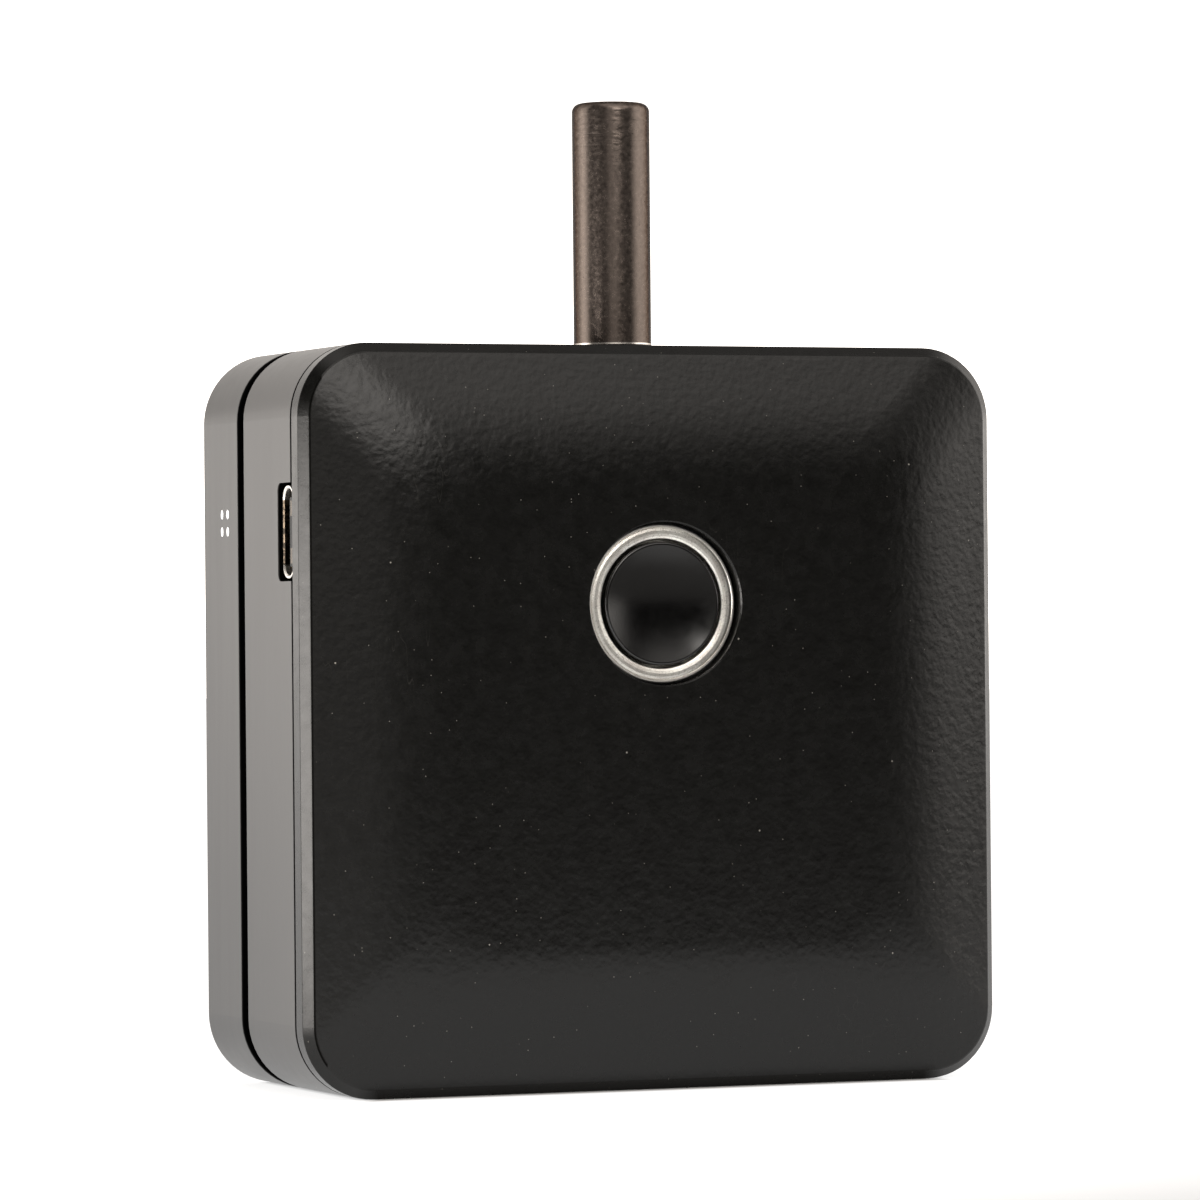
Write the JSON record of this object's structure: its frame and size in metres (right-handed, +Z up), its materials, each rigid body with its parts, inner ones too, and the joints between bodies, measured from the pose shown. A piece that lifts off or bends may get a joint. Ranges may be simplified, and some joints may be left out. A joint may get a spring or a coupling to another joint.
{
  "type": "logic analyzer",
  "caption": "Square pocket logic analyzer that stands on edge, with a push button, a USB-C port, white light points, a stubby antenna and a probe header.",
  "frame": {"origin": "centre of the bounding box on the surface the housing stands on", "axes": "+Z up, front face with the button toward -Y, USB-C port and light points on the -X side"},
  "size_m": [0.0734, 0.0326, 0.0975],
  "materials": {
    "cover_paint": "satin powder coat, fine orange peel",
    "frame_paint": "smooth satin powder coat",
    "seal_rubber": "matte",
    "case_screw_steel": "black oxide",
    "ring_nickel": "satin nickel with polished edges",
    "cap_plastic": "fine texture",
    "small_steel": "bright",
    "brass": "machined",
    "black_plastic": "moulded",
    "chip_plastic": "moulded epoxy",
    "plunger_plastic": "moulded",
    "usb_steel": "bright nickel",
    "contact_gold": "gold plated",
    "antenna_metal": "satin gunmetal, fine grain",
    "white_plastic": "moulded",
    "copper": "bare copper wire",
    "board_green": "solder mask",
    "shield_metal": "tinned",
    "passive_ceramic": "ceramic with tinned ends",
    "cell_foil": "foil pouch",
    "foam": "open foam",
    "red_wire": "wire jacket",
    "light_white": "clear, lit white from behind",
    "ribbon_amber": "polyimide film"
  },
  "bodies": {
    "housing": {"front_cover": "cover_paint", "mid_frame": "frame_paint", "rear_shell": "frame_paint", "parting_gasket": "seal_rubber", "antenna_seal": "seal_rubber", "case_screws": "case_screw_steel", "button_ring": "ring_nickel", "board_screws": "small_steel", "button_spring": "small_steel", "ring_nut": "brass", "antenna_stud": "brass", "antenna_socket": "brass", "switch_housing": "black_plastic", "usb_tongue": "black_plastic", "input_header_shroud": "black_plastic", "coax_lead": "black_plastic", "battery_lead_black": "black_plastic", "fpga_chip": "chip_plastic", "processor_chip": "chip_plastic", "memory_chips": "chip_plastic", "input_buffers": "chip_plastic", "usb_shell": "usb_steel", "usb_ground_plate": "usb_steel", "usb_contacts": "contact_gold", "input_header_pins": "contact_gold", "coax_plug": "contact_gold", "antenna_sleeve": "antenna_metal", "antenna_former": "white_plastic", "battery_socket": "white_plastic", "battery_plug": "white_plastic", "ribbon_sockets": "white_plastic", "antenna_coil": "copper", "main_board": "board_green", "led_board": "board_green", "radio_board": "board_green", "radio_shield": "shield_metal", "crystal": "shield_metal", "passives": "passive_ceramic", "battery": "cell_foil", "battery_pad": "foam", "battery_lead_red": "red_wire", "light_pipes": "light_white", "status_leds": "light_white", "led_ribbon": "ribbon_amber"},
    "button": {"button_cap": "cap_plastic", "button_clip": "small_steel", "switch_plunger": "plunger_plastic"}
  },
  "joints": [
    {"name": "button_press", "type": "slide", "parent": "housing", "child": "button", "axis": [0, 1, 0], "range_m": [0, 0.0007], "stiffness_N_per_m": 300, "springref_m": -0.001, "deforming": ["button_spring"]}
  ]
}
